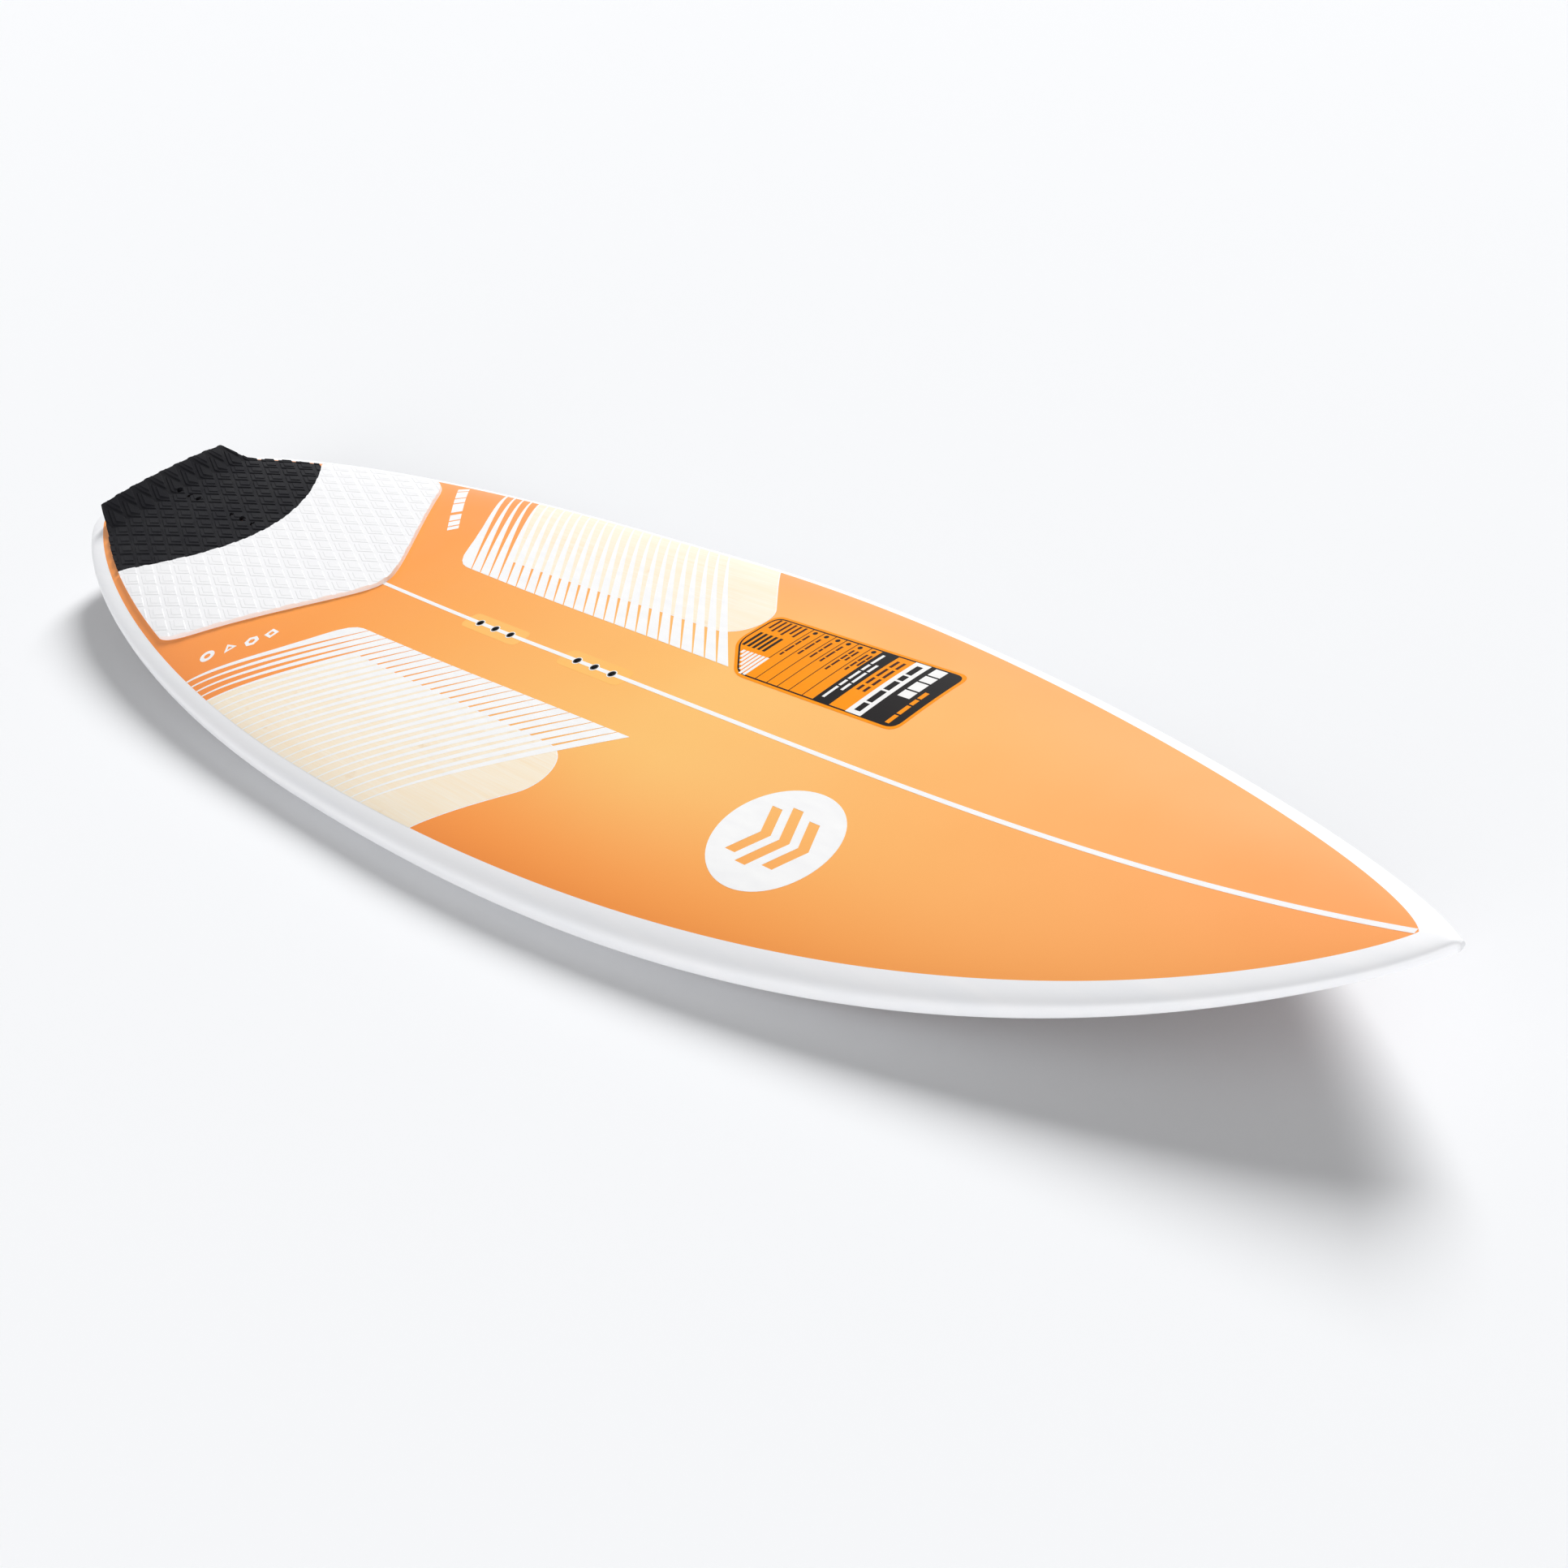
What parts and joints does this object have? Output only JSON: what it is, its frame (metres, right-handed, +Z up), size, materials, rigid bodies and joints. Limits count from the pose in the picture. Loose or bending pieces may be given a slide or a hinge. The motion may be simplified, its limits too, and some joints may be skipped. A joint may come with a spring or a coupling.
{
  "type": "kiteboard",
  "caption": "Directional surf kiteboard: foam core with stringer, skins, white rails, bamboo windows, strap inserts, fin boxes and a two-piece tail pad with a kick.",
  "frame": {"origin": "under the middle of the board's length, on the centreline, level with the lowest point of the bottom", "axes": "+X to the nose, +Y to port, +Z up through the deck"},
  "size_m": [1.753, 0.485, 0.1102],
  "materials": {
    "core_foam": "cut expanded polystyrene foam",
    "stringer_wood": "planed light plywood strip",
    "deck_lacquer": "satin orange lacquer over a glass and epoxy laminate",
    "bottom_lacquer": "dark red lacquer over a glass and epoxy laminate",
    "rail_lacquer": "satin white lacquer over a glass and epoxy laminate",
    "bamboo_veneer": "pale bamboo veneer under satin epoxy",
    "block_foam": "dense closed-cell foam block",
    "insert_plastic": "moulded black nylon",
    "stainless": "turned stainless steel",
    "fin_box_plastic": "moulded black nylon",
    "pad_foam_white": "moulded white EVA foam with cut diamond grooves",
    "pad_foam_black": "moulded black EVA foam with cut diamond grooves",
    "sticker_vinyl": "satin printed vinyl sheet"
  },
  "bodies": {
    "root": {"foam_core_port": "core_foam", "foam_core_starboard": "core_foam", "stringer": "stringer_wood", "deck_skin": "deck_lacquer", "bottom_skin": "bottom_lacquer", "rail_port": "rail_lacquer", "rail_starboard": "rail_lacquer", "bamboo_window_port": "bamboo_veneer", "bamboo_window_starboard": "bamboo_veneer", "insert_block_front_fore": "block_foam", "insert_sleeves_front_fore": "insert_plastic", "threaded_bushes_front_fore": "stainless", "insert_block_front_aft": "block_foam", "insert_sleeves_front_aft": "insert_plastic", "threaded_bushes_front_aft": "stainless", "insert_block_rear_fore": "block_foam", "insert_sleeves_rear_fore": "insert_plastic", "threaded_bushes_rear_fore": "stainless", "insert_block_rear_aft": "block_foam", "insert_sleeves_rear_aft": "insert_plastic", "threaded_bushes_rear_aft": "stainless", "fin_box_front_port": "fin_box_plastic", "fin_screws_front_port": "stainless", "fin_box_front_starboard": "fin_box_plastic", "fin_screws_front_starboard": "stainless", "fin_box_rear_port": "fin_box_plastic", "fin_screws_rear_port": "stainless", "fin_box_rear_starboard": "fin_box_plastic", "fin_screws_rear_starboard": "stainless", "pad_front": "pad_foam_white", "pad_rear": "pad_foam_black", "deck_sticker": "sticker_vinyl"}
  },
  "joints": []
}
